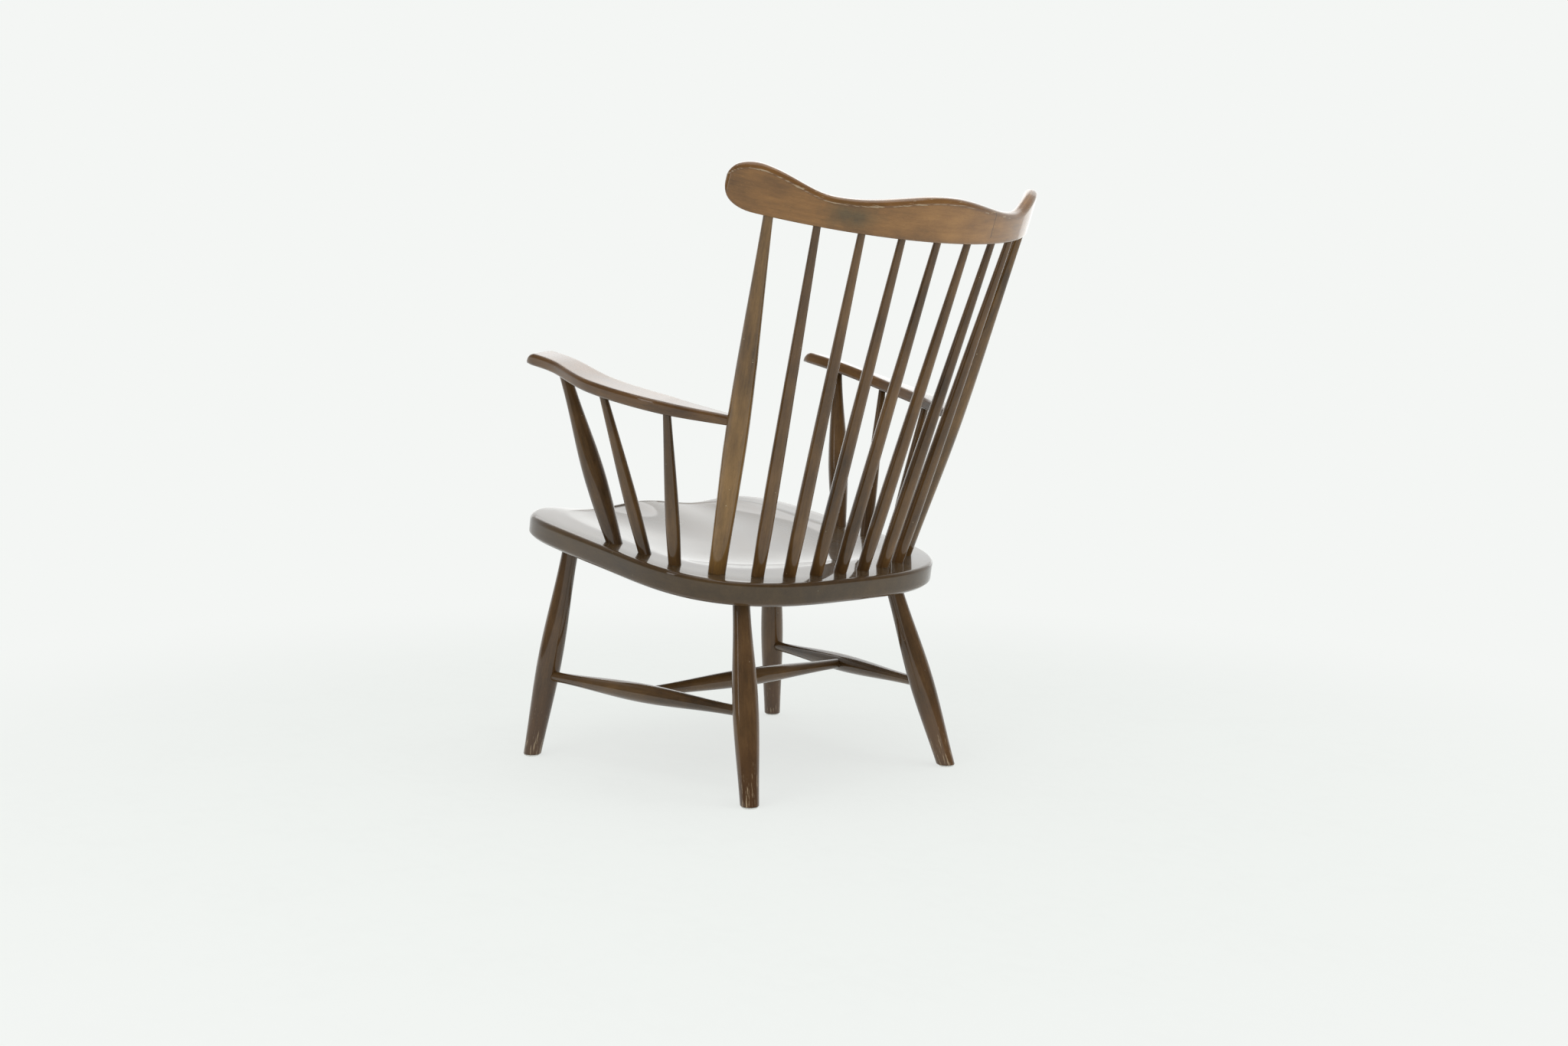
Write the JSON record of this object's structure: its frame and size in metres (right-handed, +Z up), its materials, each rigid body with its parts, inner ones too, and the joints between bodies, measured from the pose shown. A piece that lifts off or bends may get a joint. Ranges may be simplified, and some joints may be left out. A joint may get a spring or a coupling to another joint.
{
  "type": "spindle back armchair",
  "caption": "Low spindle back armchair in dark stained wood: saddled seat, splayed turned legs, leaning back of turned spindles under a bent crest rail, canted arms.",
  "frame": {"origin": "on the floor, under the centre of the chair's bounding box", "axes": "+Z up, -Y the way the sitter faces, +X to the sitter's left"},
  "size_m": [0.7148, 0.7942, 1.0142],
  "materials": {
    "stained_wood": "satin lacquer over dark walnut stain",
    "bare_dowel": "bare",
    "glide": "nickel plated"
  },
  "bodies": {
    "root": {"seat": "stained_wood", "crest_rail": "stained_wood", "leg_front_left": "stained_wood", "leg_front_right": "stained_wood", "leg_rear_left": "stained_wood", "leg_rear_right": "stained_wood", "glide_front_left": "glide", "glide_front_right": "glide", "glide_rear_left": "glide", "glide_rear_right": "glide", "side_stretcher_left": "stained_wood", "side_stretcher_right": "stained_wood", "cross_stretcher": "stained_wood", "back_spindle_1": "stained_wood", "back_spindle_2": "stained_wood", "back_spindle_3": "stained_wood", "back_spindle_4": "stained_wood", "back_spindle_5": "stained_wood", "back_spindle_6": "stained_wood", "back_spindle_7": "stained_wood", "back_post_left": "stained_wood", "back_post_right": "stained_wood", "arm_left": "stained_wood", "arm_right": "stained_wood", "arm_post_left": "stained_wood", "arm_post_right": "stained_wood", "arm_spindle_front_left": "stained_wood", "arm_spindle_front_right": "stained_wood", "arm_spindle_rear_left": "stained_wood", "arm_spindle_rear_right": "stained_wood", "arm_dowel_left": "bare_dowel", "arm_dowel_right": "bare_dowel"}
  },
  "joints": []
}
